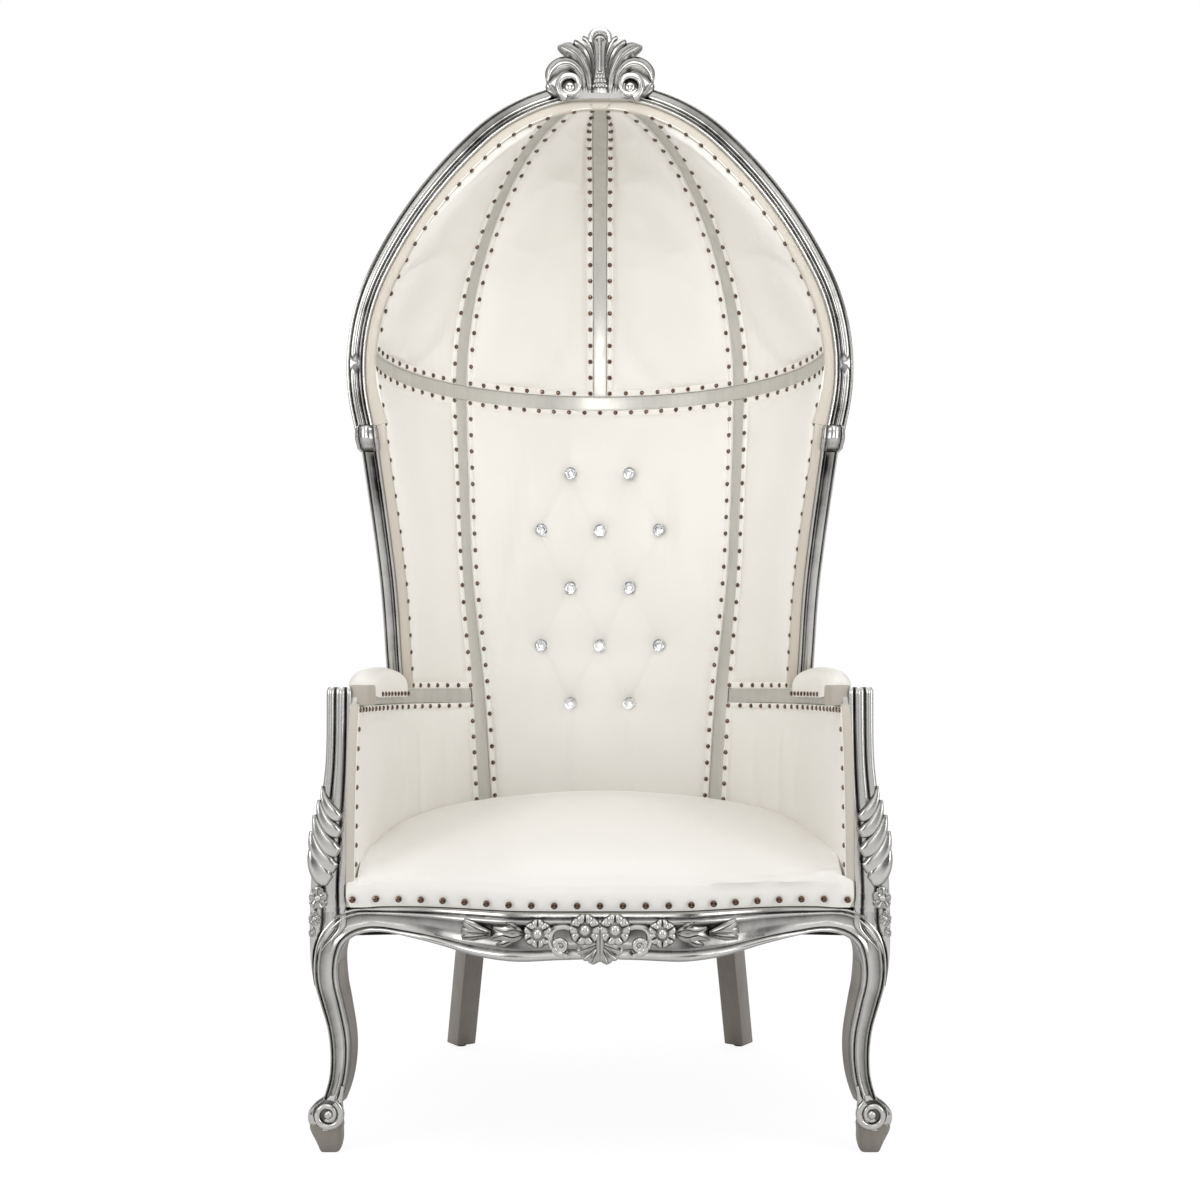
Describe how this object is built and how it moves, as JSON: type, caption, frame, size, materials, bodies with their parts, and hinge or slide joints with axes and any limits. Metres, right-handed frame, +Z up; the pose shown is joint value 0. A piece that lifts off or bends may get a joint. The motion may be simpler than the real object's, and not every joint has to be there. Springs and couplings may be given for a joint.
{
  "type": "throne chair",
  "caption": "Tall upholstered tub chair under a ribbed, domed hood, with a moulded silver frame, carved crest and front rail, cabriole front legs and a buttoned back.",
  "frame": {"origin": "centre of the chair's box at floor level", "axes": "+Z up, the chair faces -Y, +X is the sitter's left"},
  "size_m": [0.832, 0.7481, 1.688],
  "materials": {
    "silver_frame": "antique silver leaf, glossy, dark in the grooves",
    "flat_silver": "warm silver-grey, satin",
    "upholstery": "off-white faux leather, satin",
    "outer_cover": "off-white faux leather, satin",
    "cut_glass": "clear cut glass",
    "hidden_timber": "bare timber or faux leather over it where it shows",
    "dust_cloth": "black non-woven cloth",
    "rear_leg_finish": "pewter, satin",
    "glide": "matt"
  },
  "bodies": {
    "root": {"hood_arch_left": "silver_frame", "hood_arch_right": "silver_frame", "hood_stile_left": "silver_frame", "hood_stile_right": "silver_frame", "hood_collar_left": "silver_frame", "hood_collar_right": "silver_frame", "front_leg_left": "silver_frame", "front_leg_right": "silver_frame", "arm_post_left": "silver_frame", "arm_post_right": "silver_frame", "crest_carving": "silver_frame", "apron": "silver_frame", "ring_band": "flat_silver", "dome_rib_centre": "flat_silver", "dome_rib_left": "flat_silver", "dome_rib_right": "flat_silver", "side_rib_left": "flat_silver", "side_rib_right": "flat_silver", "arm_band_left": "flat_silver", "arm_band_right": "flat_silver", "arm_panel_left": "upholstery", "arm_panel_right": "upholstery", "side_panel_left": "upholstery", "side_panel_right": "upholstery", "dome_panel_inner_left": "upholstery", "dome_panel_inner_right": "upholstery", "dome_panel_outer_left": "upholstery", "dome_panel_outer_right": "upholstery", "arm_pad_left": "upholstery", "arm_pad_right": "upholstery", "centre_back_panel": "upholstery", "seat_cushion": "upholstery", "dome_cover_left": "outer_cover", "dome_cover_right": "outer_cover", "side_cover_left": "outer_cover", "side_cover_right": "outer_cover", "arm_cover_left": "outer_cover", "arm_cover_right": "outer_cover", "back_cover": "outer_cover", "crystal_buttons": "cut_glass", "arm_rail_left": "hidden_timber", "arm_rail_right": "hidden_timber", "side_rail_left": "hidden_timber", "side_rail_right": "hidden_timber", "corner_block_left": "hidden_timber", "corner_block_right": "hidden_timber", "back_rail": "hidden_timber", "seat_deck": "hidden_timber", "dust_cover": "dust_cloth", "rear_leg_left": "rear_leg_finish", "rear_leg_right": "rear_leg_finish", "rear_glide_left": "glide", "rear_glide_right": "glide"}
  },
  "joints": []
}
